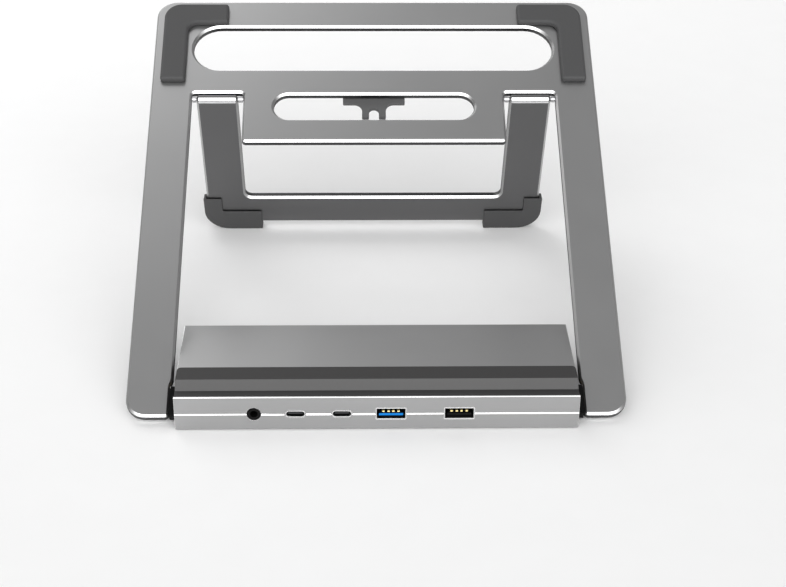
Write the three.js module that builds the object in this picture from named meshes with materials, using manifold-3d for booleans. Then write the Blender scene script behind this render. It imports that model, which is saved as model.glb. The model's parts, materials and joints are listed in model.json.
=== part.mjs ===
// A laptop docking station: a flat dock in the front bar, a tilted tray hinged to its two ends,
// and a U-shaped rear leg that folds flush into the tray. Millimetres, +X to the right, +Y to the
// rear, +Z up. The origin is under the middle of the whole object, on the surface it stands on.
import * as THREE from 'three';
import { mergeVertices } from 'three/addons/utils/BufferGeometryUtils.js';
import Module from 'manifold-3d';

const wasm = await Module();
wasm.setup();

// ---------------------------------------------------------------- driving dimensions
const TRAY_WIDTH = 235;
const TRAY_LENGTH = 255.6; // along the slope, front edge to rear edge
const PLATE = 4.6; // plate thickness of the tray and of the leg
const TRAY_TILT = 28.6; // degrees
const LEG_LEAN = 20.75; // degrees from upright, foot to the rear
const ARM_WIDTH = 21.5;
const DOCK_DEPTH = 61.8;
const DOCK_TOP = 20.3; // height of the dock's flat top
const DOCK_WALL = 1.6;
const LEG_WIDTH = 21.8;

const FIT = 0.3; // clearance between pieces that touch or turn on each other
const SOLDERED = 0.1; // gap under a piece that is soldered to the board
const EDGE = 1.1; // chamfer round both faces of the plates

// The tray, measured along the slope.
const TRAY_CORNER = 10.5;
const FRONT_CLEARANCE = 0.78; // the arms' front corner above the floor, before its chamfer
const HINGE_FROM_FRONT = 16.2; // hinge axis from the arms' front edge
const HINGE_SETBACK = 20.1; // hinge axis behind the dock's front face
const TONGUE_FROM_REAR = 95.9;
const NOTCH_FROM_REAR = 63.6;
const LEG_AXIS_IN_NOTCH = 3; // leg axis in front of the notch's rear edge
const LONG_SLOT_FROM_REAR = 33.2;
const LONG_SLOT_RADIUS = 14.76;
const LONG_SLOT_MARGIN = 20.94; // its ends to the tray's sides
const SHORT_SLOT_FROM_REAR = 73;
const SHORT_SLOT_RADIUS = 8.1;
const SHORT_SLOT_MARGIN = 16.05; // its ends to the tongue's sides
const SPACER_RECESS = 1.1;
const SPACER_LENGTH = 16;

// The leg, measured down from its axis.
const LEG_GAP_OUTSIDE = 2.4;
const LEG_GAP_INSIDE = 3;
const CROSSBAR = 20.4;
const CAP_DROP = 4.7; // rubber under the crossbar, measured along the leg
const CAP_WALL = 1; // rubber in front of and behind the leg
const CAP_SIDE_CLEARANCE = 0.5; // cap to arm, with the leg folded in
const CAP_LENGTH = 32.2;
const CAP_HEIGHT = 24.7;
const CAP_SIDE_WIDTH = 10.3;
const CAP_FOOT_HEIGHT = 14.5;
const CAP_CORNER = 14;
const LEG_PIN_RADIUS = 0.9;
const LEG_PIN_BITE = 5; // length of the pin inside the tray at each end

// Rubber pads on the rear corners.
const PAD_INSET = 4.4;
const PAD_WIDTH = 13.2;
const PAD_SIDE_LENGTH = 52.5;
const PAD_REAR_LENGTH = 34.6;
const PAD_HEIGHT = 3.5;
const PAD_BEVEL = 1.4;

// Cable clip under the short slot.
const CLIP_THICKNESS = 2.2;
const CLIP_HALF = 16.4;
const CLIP_FRONT = 2.2; // its bar's front edge in front of the short slot's rear edge
const CLIP_DEPTH = 11.2;
const PRONG_REACH = 9.4;
const PRONG_OUTSIDE = 6.3;
const PRONG_INSIDE = 2.6;
const CLIP_SCREW_X = 11;
const CLIP_SCREW_RADIUS = 0.9;
const CLIP_SCREW_BITE = 2.8;

// The dock.
const DOCK_SIDE_GAP = 2.34; // dock end to arm
const FOOT_PROUD = 0.6;
const SEAM_HEIGHT = 9.06;
const FRONT_EDGE_DROP = 1.9; // dock's front edge below its top
const FRONT_EDGE_WIDTH = 0.8; // metal in front of the rubber lip
const FRONT_EDGE_CHAMFER = 0.3;
const REAR_EDGE_RADIUS = 1;
const BASE_EDGE_RADIUS = 0.6;
const LIP_DEPTH = 20.9;
const LIP_SEAT_DROP = 3.2; // floor of the lip's recess below the dock's top
const LIP_PROUD = 2.1;
const LIP_LEDGE = 1.2; // ledge above the floor of the recess
const LIP_SLOPE = [5.1, 9.1]; // foot and head of the slope, behind the front face
const LIP_REAR_CHAMFER = 1;
const END_CAP = 2.3;
const BOARD_TOP = 5.8;
const BOARD_THICKNESS = 1.2;
const BOARD_FROM_END = 15.66;
const SCREW_FROM_END = 21.66;
const SCREW_FROM_FRONT = 9.5;
const SCREW_FROM_REAR = 11.3;
const SCREW_RADIUS = 1;
const SCREW_HEAD_RADIUS = 2.4;
const SCREW_HEAD_HEIGHT = 1.2;
const SCREW_END_GAP = 1.2; // screw tip below the lip's recess
const SCREW_SINK = 0.3; // head above the base's underside
const BOSS_RADIUS = 3.2;
const PILLAR_RADIUS = 3.6;
const STRIP_FROM_FRONT = 18.5; // to its middle
const STRIP_FROM_REAR = 19.3;
const STRIP_FROM_END = 23.66;
const STRIP_WIDTH = 8;
const STRIP_SINK = 0.6;
const STRIP_CORNER = 2;

// Front hinge hardware.
const HINGE_PIN_RADIUS = 1.1;
const HINGE_PIN_BITE = 13; // length of the pin inside the arm
const BUSH_WALL = 1.2;
const BUSH_LENGTH = 4.3;
const BRACKET = 1.7;
const BRACKET_DEPTH = 13;
const BRACKET_FOOT = 9.7;
const BRACKET_UNDER_ROOF = 0.35;
const WASHER = 0.8;
const WASHER_RADIUS = 2.4;
const NUT = 2.3;
const NUT_RADIUS = 2.6;

// Sockets: centre across, and the opening with its metal shell round it.
const USB_C = { width: 9.1, height: 3.4, wall: 0.3, depth: 8, tongue: [6.7, 0.7], setback: 0.8 };
const USB_A = { width: 13.8, height: 5.9, wall: 0.45, depth: 14, tongue: [11.4, 1.9], setback: 0.6 };
const HDMI = { width: 15, height: 5.5, wall: 0.4, depth: 11.5, tongue: [11.6, 1.1], setback: 1 };
const FRONT_C = [-37.8, -16.3];
const FRONT_A = [6.4, 38];
const REAR_C = [-52, -30];
const HDMI_X = -6;
const LAN_X = 24;
const LAN = { width: 16, height: 11.2, depth: 15, mouth: [11.8, 7.6], mouthDepth: 12 };
const JACK_X = -57;
const JACK = { radius: 3.1, bore: 1.8, depth: 13, boreDepth: 11.5, body: 7.4 };

// Parts on the board: centre, footprint and height.
const HUB_CHIP = { at: [-16, 28], size: [12, 12, 1.2] };
const DISPLAY_CHIP = { at: [-46, 29], size: [10, 10, 1.2] };
const TRANSFORMER = { at: [24, 29], size: [16, 7, 5.5] };
const SHIELD_CAN = { at: [-16, 28], size: [24, 20, 3] };
const CAN_WALL = 0.5;

// ---------------------------------------------------------------- derived sizes
const tilt = THREE.MathUtils.degToRad(TRAY_TILT);
const lean = THREE.MathUtils.degToRad(LEG_LEAN);
const trayHalf = TRAY_WIDTH / 2;
const armInner = trayHalf - ARM_WIDTH;
const legOuter = armInner - LEG_GAP_OUTSIDE;
const legInner = legOuter - LEG_WIDTH;
const tongueHalf = legInner - LEG_GAP_INSIDE;
const dockHalf = armInner - DOCK_SIDE_GAP;

const hingeZ = FRONT_CLEARANCE + HINGE_FROM_FRONT * Math.sin(tilt) + (PLATE / 2) * Math.cos(tilt);
const trayFront = -HINGE_FROM_FRONT; // tray frame: its hinge axis is the origin
const trayRear = TRAY_LENGTH - HINGE_FROM_FRONT;
const notchRear = trayRear - NOTCH_FROM_REAR;
const tongueFront = trayRear - TONGUE_FROM_REAR;
const shortSlotY = trayRear - SHORT_SLOT_FROM_REAR;
const longSlotY = trayRear - LONG_SLOT_FROM_REAR;
const longSlotHalf = trayHalf - LONG_SLOT_MARGIN - LONG_SLOT_RADIUS;
const shortSlotHalf = tongueHalf - SHORT_SLOT_MARGIN - SHORT_SLOT_RADIUS;
const legAxisY = notchRear - LEG_AXIS_IN_NOTCH;

const legY = HINGE_SETBACK + legAxisY * Math.cos(tilt);
const legZ = hingeZ + legAxisY * Math.sin(tilt);
const capReach = (legZ - (PLATE / 2 + CAP_WALL) * Math.sin(lean)) / Math.cos(lean);
const metalEnd = capReach - CAP_DROP;
const windowEnd = metalEnd - CROSSBAR;
const capOuter = armInner - CAP_SIDE_CLEARANCE;

const frontEdge = DOCK_TOP - FRONT_EDGE_DROP;
const lipSeat = DOCK_TOP - LIP_SEAT_DROP;
const lipTop = DOCK_TOP + LIP_PROUD;
const floorZ = FOOT_PROUD;
const cavityFloor = floorZ + DOCK_WALL;
const cavityRoof = DOCK_TOP - DOCK_WALL;
const seatRoof = lipSeat - DOCK_WALL;
const cavityStep = LIP_DEPTH + DOCK_WALL + FIT;
const rearInner = DOCK_DEPTH - DOCK_WALL;

// ---------------------------------------------------------------- modelling helpers
function solid(geometry) {
  geometry.deleteAttribute('normal');
  geometry.deleteAttribute('uv');
  const merged = mergeVertices(geometry, 1e-4);
  return new wasm.Manifold(new wasm.Mesh({
    numProp: 3,
    vertProperties: new Float32Array(merged.attributes.position.array),
    triVerts: new Uint32Array(merged.index.array),
  }));
}

function toGeometry(body) {
  const { vertProperties, triVerts } = body.getMesh();
  const geometry = new THREE.BufferGeometry();
  geometry.setAttribute('position', new THREE.BufferAttribute(new Float32Array(vertProperties), 3));
  geometry.setIndex(new THREE.BufferAttribute(new Uint32Array(triVerts), 1));
  const flat = geometry.toNonIndexed();
  flat.computeVertexNormals();
  return flat;
}

const cut = (body, ...tools) => tools.reduce((left, tool) => left.subtract(tool), body);
const join = (body, ...others) => others.reduce((left, other) => left.add(other), body);

function block(x0, x1, y0, y1, z0, z1) {
  const box = new THREE.BoxGeometry(x1 - x0, y1 - y0, z1 - z0);
  box.translate((x0 + x1) / 2, (y0 + y1) / 2, (z0 + z1) / 2);
  return solid(box);
}

// The points of an outline through corners [x, y, radius]; a corner with no radius stays sharp.
function outlinePoints(corners, steps = 8) {
  const points = [];
  corners.forEach(([x, y, radius = 0], i) => {
    const corner = new THREE.Vector2(x, y);
    if (!radius) {
      points.push(corner);
      return;
    }
    const [px, py] = corners[(i + corners.length - 1) % corners.length];
    const [nx, ny] = corners[(i + 1) % corners.length];
    const back = new THREE.Vector2(px - x, py - y).normalize();
    const ahead = new THREE.Vector2(nx - x, ny - y).normalize();
    const half = Math.acos(THREE.MathUtils.clamp(back.dot(ahead), -1, 1)) / 2;
    const middle = back.clone().add(ahead).normalize();
    const centre = corner.clone().addScaledVector(middle, radius / Math.sin(half));
    const reach = radius / Math.tan(half);
    const start = corner.clone().addScaledVector(back, reach).sub(centre);
    const turn = Math.sign(ahead.cross(back)) * (Math.PI - 2 * half);
    for (let step = 0; step <= steps; step += 1) {
      points.push(start.clone().rotateAround(new THREE.Vector2(), (turn * step) / steps).add(centre));
    }
  });
  return points.filter((point, i) => point.distanceTo(points.at(i - 1)) > 1e-3);
}

const outline = (corners, steps) => new THREE.Shape(outlinePoints(corners, steps));

// Half an outline, repeated in reverse on the other side of x = 0.
const mirrored = (half) => [...half, ...half.map(([x, y, r]) => [-x, y, r]).reverse()];

function slot(y, halfLength, radius) {
  const end = halfLength + radius;
  return new THREE.Path(outlinePoints([
    [end, y - radius, radius], [end, y + radius, radius],
    [-end, y + radius, radius], [-end, y - radius, radius],
  ]));
}

const rectangle = (width, height, radius = 0) => outline([
  [width / 2, -height / 2, radius], [width / 2, height / 2, radius],
  [-width / 2, height / 2, radius], [-width / 2, -height / 2, radius],
]);

// A plate in the XY plane from z0 to z1, with an optional chamfer on its edges.
function plate(shape, z0, z1, chamfer = 0) {
  const geometry = new THREE.ExtrudeGeometry(shape, {
    depth: z1 - z0 - 2 * chamfer,
    bevelEnabled: chamfer > 0,
    bevelThickness: chamfer,
    bevelSize: chamfer,
    bevelOffset: -chamfer,
    bevelSegments: 1,
  });
  geometry.translate(0, 0, z0 + chamfer);
  return solid(geometry);
}

// An outline in (y, z) drawn out along x.
function profile(points, x0, x1) {
  const geometry = new THREE.ExtrudeGeometry(outline(points), {
    depth: x1 - x0, bevelEnabled: false,
  });
  geometry.rotateX(Math.PI / 2).rotateZ(Math.PI / 2).translate(x0, 0, 0);
  return solid(geometry);
}

// An outline in (x, z), centred on its socket, drawn from y0 to y1.
function channel(shape, x, z, y0, y1) {
  const geometry = new THREE.ExtrudeGeometry(shape, {
    depth: y1 - y0, bevelEnabled: false, curveSegments: 10,
  });
  geometry.rotateX(Math.PI / 2).translate(x, y1, z);
  return solid(geometry);
}

function turned(points) {
  return new THREE.LatheGeometry(points.map(([r, h]) => new THREE.Vector2(r, h)), 20);
}

function rodX(radius, x0, x1, y = 0, z = 0, sides = 20) {
  const rod = new THREE.CylinderGeometry(radius, radius, x1 - x0, sides);
  rod.rotateZ(Math.PI / 2).translate((x0 + x1) / 2, y, z);
  return solid(rod);
}

function rodZ(radius, x, y, z0, z1, sides = 20) {
  const rod = new THREE.CylinderGeometry(radius, radius, z1 - z0, sides);
  rod.rotateX(Math.PI / 2).translate(x, y, (z0 + z1) / 2);
  return solid(rod);
}

const ringX = (outer, inner, x0, x1, y = 0, z = 0) => (
  cut(rodX(outer, x0, x1, y, z), rodX(inner, x0 - 1, x1 + 1, y, z))
);

// Keeps x0 below x1 when a piece is made for the left side.
const sided = (side, near, far) => (side > 0 ? [near, far] : [-far, -near]);

// ---------------------------------------------------------------- finishes
const FINISHES = {
  aluminium: { color: 0x9a9b9d, roughness: 0.42, metalness: 0.9 },
  steel: { color: 0xb8babd, roughness: 0.28, metalness: 1 },
  brass: { color: 0xb08d4a, roughness: 0.35, metalness: 1 },
  rubber: { color: 0x4a4a4b, roughness: 0.85, metalness: 0 },
  black: { color: 0x141415, roughness: 0.5, metalness: 0 },
  blue: { color: 0x1173c4, roughness: 0.45, metalness: 0 },
  board: { color: 0x1f5a3a, roughness: 0.55, metalness: 0.1 },
};

function add(group, name, body, finish) {
  const geometry = body.isBufferGeometry ? body : toGeometry(body);
  const mesh = new THREE.Mesh(geometry, new THREE.MeshStandardMaterial(FINISHES[finish]));
  mesh.name = name;
  group.add(mesh);
}

const station = new THREE.Group();
const dock = new THREE.Group();
const tray = new THREE.Group();
const leg = new THREE.Group();
tray.position.set(0, HINGE_SETBACK, hingeZ);
tray.rotation.x = tilt;
leg.position.set(0, legY, legZ);
leg.rotation.x = lean;
station.add(dock, tray, leg);

// ---------------------------------------------------------------- sockets of the dock
// A shell, its tongue and the hole for both, at the front face or at the rear one.
const shapeC = (grow) => rectangle(
  USB_C.width + 2 * grow, USB_C.height + 2 * grow, USB_C.height / 2 + grow - 0.01,
);
const shapeA = (grow) => rectangle(
  USB_A.width + 2 * grow, USB_A.height + 2 * grow, Math.max(0.6 + grow, 0.1),
);
function shapeHdmi(grow) {
  const w = HDMI.width / 2 + grow;
  const h = HDMI.height / 2 + grow;
  return outline([
    [w - 2, -h, 0.5], [w, -h + 2.1, 0.5], [w, h, 0.5],
    [-w, h, 0.5], [-w, -h + 2.1, 0.5], [-w + 2, -h, 0.5],
  ]);
}

const socketHoles = [];

function socket(label, size, shape, x, rear, finish) {
  const from = rear ? DOCK_DEPTH - size.depth : 0;
  const to = rear ? DOCK_DEPTH : size.depth;
  const reach = rear ? [from, to - size.setback] : [size.setback, to];
  const baseDepth = 1.5;
  const base = rear ? [from + 0.2, from + baseDepth] : [to - baseDepth, to - 0.2];
  const inside = -size.wall;
  const shell = cut(
    channel(shape(0), x, SEAM_HEIGHT, from, to),
    channel(shape(inside), x, SEAM_HEIGHT, from - 1, to + 1),
  );
  const tongue = join(
    channel(rectangle(...size.tongue), x, SEAM_HEIGHT, ...reach),
    channel(shape(inside - FIT), x, SEAM_HEIGHT, ...base),
  );
  socketHoles.push(channel(shape(FIT), x, SEAM_HEIGHT, from - 1, to + 1));
  add(dock, `${label}_shell`, shell, 'steel');
  add(dock, `${label}_tongue`, tongue, finish);
}

FRONT_C.forEach((x, i) => socket(`front_usb_c_${i + 1}`, USB_C, shapeC, x, false, 'black'));
socket('fast_usb_a', USB_A, shapeA, FRONT_A[0], false, 'blue');
socket('plain_usb_a', USB_A, shapeA, FRONT_A[1], false, 'black');
socket('host_usb_c', USB_C, shapeC, REAR_C[0], true, 'black');
socket('power_usb_c', USB_C, shapeC, REAR_C[1], true, 'black');
socket('hdmi', HDMI, shapeHdmi, HDMI_X, true, 'black');

// Round audio jack: a black barrel on a square body.
{
  const { radius, bore, depth, boreDepth, body } = JACK;
  const disc = (r) => new THREE.Shape().absarc(0, 0, r, 0, 2 * Math.PI);
  const bodyBottom = BOARD_TOP + SOLDERED - SEAM_HEIGHT;
  const jack = cut(
    join(
      channel(disc(radius), JACK_X, SEAM_HEIGHT, 0, depth),
      block(
        JACK_X - body / 2, JACK_X + body / 2, DOCK_WALL + FIT, depth,
        SEAM_HEIGHT + bodyBottom, SEAM_HEIGHT + radius,
      ),
    ),
    channel(disc(bore), JACK_X, SEAM_HEIGHT, -1, boreDepth),
  );
  socketHoles.push(channel(disc(radius + FIT), JACK_X, SEAM_HEIGHT, -1, DOCK_WALL + 0.1));
  add(dock, 'audio_jack', jack, 'black');
}

// Network socket on the rear face, with the step for its plug's latch.
const lanBottom = BOARD_TOP + SOLDERED;
const lanFront = DOCK_DEPTH - LAN.depth;
{
  const [mouthWidth, mouthHeight] = LAN.mouth;
  const mouthBottom = lanBottom + 1.4;
  const mouthFront = DOCK_DEPTH - LAN.mouthDepth;
  const latch = 2.2;
  const lan = cut(
    block(
      LAN_X - LAN.width / 2, LAN_X + LAN.width / 2, lanFront, DOCK_DEPTH,
      lanBottom, lanBottom + LAN.height,
    ),
    block(
      LAN_X - mouthWidth / 2, LAN_X + mouthWidth / 2, mouthFront, DOCK_DEPTH + 1,
      mouthBottom, mouthBottom + mouthHeight,
    ),
    block(
      LAN_X - latch, LAN_X + latch, mouthFront, DOCK_DEPTH + 1,
      mouthBottom + mouthHeight - 0.1, mouthBottom + mouthHeight + 1.4,
    ),
  );
  socketHoles.push(block(
    LAN_X - LAN.width / 2 - FIT, LAN_X + LAN.width / 2 + FIT, lanFront, DOCK_DEPTH + 1,
    lanBottom - FIT, lanBottom + LAN.height + FIT,
  ));
  add(dock, 'lan_socket', lan, 'black');
}

// ---------------------------------------------------------------- housing of the dock
const screwPlaces = [];
for (const y of [SCREW_FROM_FRONT, DOCK_DEPTH - SCREW_FROM_REAR]) {
  for (const side of [-1, 1]) screwPlaces.push([side * (dockHalf - SCREW_FROM_END), y]);
}
const stripHalf = dockHalf - STRIP_FROM_END;
const stripPlaces = [STRIP_FROM_FRONT, DOCK_DEPTH - STRIP_FROM_REAR];
const headTop = floorZ + SCREW_SINK + SCREW_HEAD_HEIGHT;
const screwTip = seatRoof - SCREW_END_GAP;
const boardBottom = BOARD_TOP - BOARD_THICKNESS;

{
  const channelSection = profile([
    [0, SEAM_HEIGHT + FIT / 2], [0, frontEdge - FRONT_EDGE_CHAMFER],
    [FRONT_EDGE_CHAMFER, frontEdge], [FRONT_EDGE_WIDTH, frontEdge], [FRONT_EDGE_WIDTH, lipSeat],
    [LIP_DEPTH, lipSeat], [LIP_DEPTH, DOCK_TOP],
    [DOCK_DEPTH, DOCK_TOP, REAR_EDGE_RADIUS], [DOCK_DEPTH, SEAM_HEIGHT + FIT / 2],
    [rearInner, SEAM_HEIGHT + FIT / 2], [rearInner, cavityRoof], [cavityStep, cavityRoof],
    [cavityStep, seatRoof], [DOCK_WALL, seatRoof], [DOCK_WALL, SEAM_HEIGHT + FIT / 2],
  ].reverse(), -dockHalf, dockHalf);
  const bosses = screwPlaces.map(([x, y]) => (
    rodZ(BOSS_RADIUS, x, y, BOARD_TOP + FIT, (y < cavityStep ? seatRoof : cavityRoof) + 0.5)
  ));
  const threads = screwPlaces.map(([x, y]) => (
    rodZ(SCREW_RADIUS + FIT, x, y, BOARD_TOP, screwTip + 0.5)
  ));
  add(dock, 'dock_top_shell', cut(join(channelSection, ...bosses), ...threads, ...socketHoles),
    'aluminium');
}

{
  const channelSection = profile([
    [0, SEAM_HEIGHT - FIT / 2], [0, floorZ, BASE_EDGE_RADIUS],
    [DOCK_DEPTH, floorZ, BASE_EDGE_RADIUS],
    [DOCK_DEPTH, SEAM_HEIGHT - FIT / 2], [rearInner, SEAM_HEIGHT - FIT / 2],
    [rearInner, cavityFloor], [DOCK_WALL, cavityFloor], [DOCK_WALL, SEAM_HEIGHT - FIT / 2],
  ], -dockHalf, dockHalf);
  const pillars = screwPlaces.map(([x, y]) => (
    rodZ(PILLAR_RADIUS, x, y, cavityFloor - 0.5, boardBottom - FIT)
  ));
  const holes = screwPlaces.flatMap(([x, y]) => [
    rodZ(SCREW_RADIUS + FIT, x, y, 0, BOARD_TOP),
    rodZ(SCREW_HEAD_RADIUS + FIT, x, y, 0, headTop + FIT),
  ]);
  const stripSeats = stripPlaces.map((y) => block(
    -stripHalf - FIT, stripHalf + FIT, y - STRIP_WIDTH / 2 - FIT, y + STRIP_WIDTH / 2 + FIT,
    0, floorZ + STRIP_SINK,
  ));
  add(dock, 'dock_bottom_shell',
    cut(join(channelSection, ...pillars), ...holes, ...stripSeats, ...socketHoles), 'aluminium');
}

const lipFront = FRONT_EDGE_WIDTH + FIT;
const lipRear = LIP_DEPTH - FIT;
const ledge = lipSeat + FIT + LIP_LEDGE;
add(dock, 'lip_strip', profile([
  [lipFront, lipSeat + FIT], [lipRear, lipSeat + FIT], [lipRear, lipTop - LIP_REAR_CHAMFER],
  [lipRear - LIP_REAR_CHAMFER, lipTop], [LIP_SLOPE[1], lipTop], [LIP_SLOPE[0], ledge],
  [lipFront, ledge],
], -dockHalf + FIT, dockHalf - FIT), 'rubber');

stripPlaces.forEach((y, i) => {
  const strip = plate(outline(mirrored([
    [stripHalf, y - STRIP_WIDTH / 2, STRIP_CORNER], [stripHalf, y + STRIP_WIDTH / 2, STRIP_CORNER],
  ])), 0, floorZ + STRIP_SINK - FIT);
  add(dock, `${i ? 'rear' : 'front'}_foot_strip`, strip, 'rubber');
});

const screwLength = screwTip - headTop + SCREW_HEAD_HEIGHT;
screwPlaces.forEach(([x, y], i) => {
  const screw = turned([
    [0, 0], [SCREW_HEAD_RADIUS, 0], [SCREW_HEAD_RADIUS, SCREW_HEAD_HEIGHT * 0.6],
    [SCREW_HEAD_RADIUS - 0.6, SCREW_HEAD_HEIGHT], [SCREW_RADIUS, SCREW_HEAD_HEIGHT],
    [SCREW_RADIUS, screwLength - 0.5], [SCREW_RADIUS - 0.4, screwLength], [0, screwLength],
  ]);
  screw.rotateX(Math.PI / 2).translate(x, y, headTop - SCREW_HEAD_HEIGHT);
  add(dock, `dock_screw_${i + 1}`, solid(screw), 'steel');
});

// ---------------------------------------------------------------- board and its parts
{
  const holes = screwPlaces.map(([x, y]) => (
    rodZ(SCREW_RADIUS + FIT, x, y, boardBottom - 1, BOARD_TOP + 1)
  ));
  const boardHalf = dockHalf - BOARD_FROM_END;
  const board = block(
    -boardHalf, boardHalf, DOCK_WALL + FIT, rearInner - FIT, boardBottom, BOARD_TOP,
  );
  add(dock, 'main_board', cut(board, ...holes), 'board');

  // A part stands on the board; shrink takes its walls and roof in, for the inside of a can.
  const onBoard = BOARD_TOP + SOLDERED;
  const mounted = ({ at: [x, y], size: [width, depth, height] }, shrink = 0) => block(
    x - width / 2 + shrink, x + width / 2 - shrink, y - depth / 2 + shrink, y + depth / 2 - shrink,
    onBoard - shrink, onBoard + height - shrink,
  );
  add(dock, 'hub_chip', mounted(HUB_CHIP), 'black');
  add(dock, 'display_chip', mounted(DISPLAY_CHIP), 'black');
  add(dock, 'network_transformer', mounted(TRANSFORMER), 'black');
  add(dock, 'shield_can', cut(mounted(SHIELD_CAN), mounted(SHIELD_CAN, CAN_WALL)), 'steel');
}

// ---------------------------------------------------------------- dock ends and front hinges
// Outwards from the middle: nut, washer, bracket, bush in the end cap, spacer, arm.
const capFace = dockHalf - 0.2;
const capBack = capFace - END_CAP;
const bushOuter = HINGE_PIN_RADIUS + FIT + BUSH_WALL;
const bushEnd = capFace - FIT;
const bracketOuter = bushEnd - BUSH_LENGTH - FIT;
const bracketInner = bracketOuter - BRACKET;
const washerOuter = bracketInner - FIT;
const nutOuter = washerOuter - WASHER - FIT;
const pinStart = nutOuter - NUT - 0.4;
const pinEnd = armInner + SPACER_RECESS + HINGE_PIN_BITE;
const pinBore = HINGE_PIN_RADIUS + FIT;

const cavityCorners = [
  [DOCK_WALL + FIT, cavityFloor + FIT], [rearInner - FIT, cavityFloor + FIT],
  [rearInner - FIT, cavityRoof - FIT], [cavityStep + FIT, cavityRoof - FIT],
  [cavityStep + FIT, seatRoof - FIT], [DOCK_WALL + FIT, seatRoof - FIT],
];

for (const [side, label] of [[-1, 'left'], [1, 'right']]) {
  const span = (near, far) => sided(side, near, far);
  const ring = (outer, inner, near, far) => (
    ringX(outer, inner, ...span(near, far), HINGE_SETBACK, hingeZ)
  );
  const cap = cut(
    profile(cavityCorners, ...span(capBack, capFace)),
    rodX(bushOuter + FIT, ...span(capBack - 1, capFace + 1), HINGE_SETBACK, hingeZ),
  );
  add(dock, `${label}_end_cap`, cap, 'black');
  add(dock, `${label}_hinge_bush`, ring(bushOuter, pinBore, bushEnd - BUSH_LENGTH, bushEnd), 'brass');

  const y0 = HINGE_SETBACK - BRACKET_DEPTH / 2;
  const y1 = HINGE_SETBACK + BRACKET_DEPTH / 2;
  const base = cavityFloor + FIT;
  const bracket = cut(
    join(
      block(...span(bracketInner, bracketOuter), y0, y1, base, seatRoof - BRACKET_UNDER_ROOF),
      block(...span(bracketOuter - BRACKET_FOOT, bracketOuter), y0, y1, base, base + 1.5),
    ),
    rodX(pinBore, ...span(bracketInner - 1, bracketOuter + 1), HINGE_SETBACK, hingeZ),
  );
  add(dock, `${label}_hinge_bracket`, bracket, 'steel');
  add(dock, `${label}_spring_washer`, ring(
    WASHER_RADIUS, pinBore, washerOuter - WASHER, washerOuter,
  ), 'steel');

  const nut = cut(
    rodX(NUT_RADIUS, ...span(nutOuter - NUT, nutOuter), HINGE_SETBACK, hingeZ, 6),
    rodX(pinBore, ...span(nutOuter - NUT - 1, nutOuter + 1), HINGE_SETBACK, hingeZ),
  );
  add(dock, `${label}_hinge_nut`, nut, 'steel');

  // The pin is pressed into the arm and turns with the tray.
  add(tray, `${label}_hinge_pin`, rodX(HINGE_PIN_RADIUS, ...span(pinStart, pinEnd)), 'steel');
  const inner = dockHalf + 0.45;
  const outer = armInner + SPACER_RECESS - FIT;
  const spacerFront = trayFront + 0.4;
  const spacer = cut(
    plate(outline([
      [side * inner, spacerFront, 0.8], [side * outer, spacerFront, 0.8],
      [side * outer, trayFront + SPACER_LENGTH, 0.8], [side * inner, trayFront + SPACER_LENGTH, 0.8],
    ]), -PLATE / 2, PLATE / 2),
    rodX(pinBore, ...span(inner - 1, outer + 1)),
  );
  add(tray, `${label}_hinge_spacer`, spacer, 'black');
}

// ---------------------------------------------------------------- tray
const clipScrewY = shortSlotY + SHORT_SLOT_RADIUS + 5;
const legPinSpan = [tongueHalf - LEG_PIN_BITE, armInner + LEG_PIN_BITE];
{
  const recessed = armInner + SPACER_RECESS;
  const corners = mirrored([
    [tongueHalf, tongueFront, 2], [tongueHalf, notchRear, 2], [armInner, notchRear, 2],
    [armInner, trayFront + SPACER_LENGTH + 4, 4], [recessed, trayFront + SPACER_LENGTH, 4],
    [recessed, trayFront, 2], [trayHalf, trayFront, TRAY_CORNER - 1],
    [trayHalf, trayRear, TRAY_CORNER],
  ]);
  const shape = outline(corners);
  shape.holes.push(slot(longSlotY, longSlotHalf, LONG_SLOT_RADIUS));
  shape.holes.push(slot(shortSlotY, shortSlotHalf, SHORT_SLOT_RADIUS));
  const bores = [];
  for (const side of [-1, 1]) {
    bores.push(rodX(pinBore, ...sided(side, armInner - 1, pinEnd + 0.4)));
    bores.push(rodX(
      LEG_PIN_RADIUS + FIT, ...sided(side, legPinSpan[0] - FIT, legPinSpan[1] + FIT), legAxisY,
    ));
    bores.push(rodZ(
      CLIP_SCREW_RADIUS + FIT, side * CLIP_SCREW_X, clipScrewY,
      -PLATE / 2 - 1, -PLATE / 2 + CLIP_SCREW_BITE + FIT,
    ));
  }
  add(tray, 'tray_plate', cut(plate(shape, -PLATE / 2, PLATE / 2, EDGE), ...bores), 'aluminium');
}

// Corner pads: bevelled on top, flat underneath.
for (const [side, label] of [[-1, 'left'], [1, 'right']]) {
  const outer = trayHalf - PAD_INSET;
  const rear = trayRear - PAD_INSET;
  const shape = outline([
    [side * outer, rear, TRAY_CORNER - 1.5], [side * (outer - PAD_REAR_LENGTH), rear],
    [side * (outer - PAD_REAR_LENGTH), rear - PAD_WIDTH],
    [side * (outer - PAD_WIDTH), rear - PAD_WIDTH, 5],
    [side * (outer - PAD_WIDTH), rear - PAD_SIDE_LENGTH], [side * outer, rear - PAD_SIDE_LENGTH],
  ]);
  const seat = PLATE / 2 + FIT;
  const pad = cut(
    plate(shape, seat - PAD_BEVEL, PLATE / 2 + PAD_HEIGHT, PAD_BEVEL),
    block(-trayHalf, trayHalf, trayFront, trayRear, seat - 2 * PAD_BEVEL, seat),
  );
  add(tray, `${label}_corner_pad`, pad, 'rubber');
}

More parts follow.
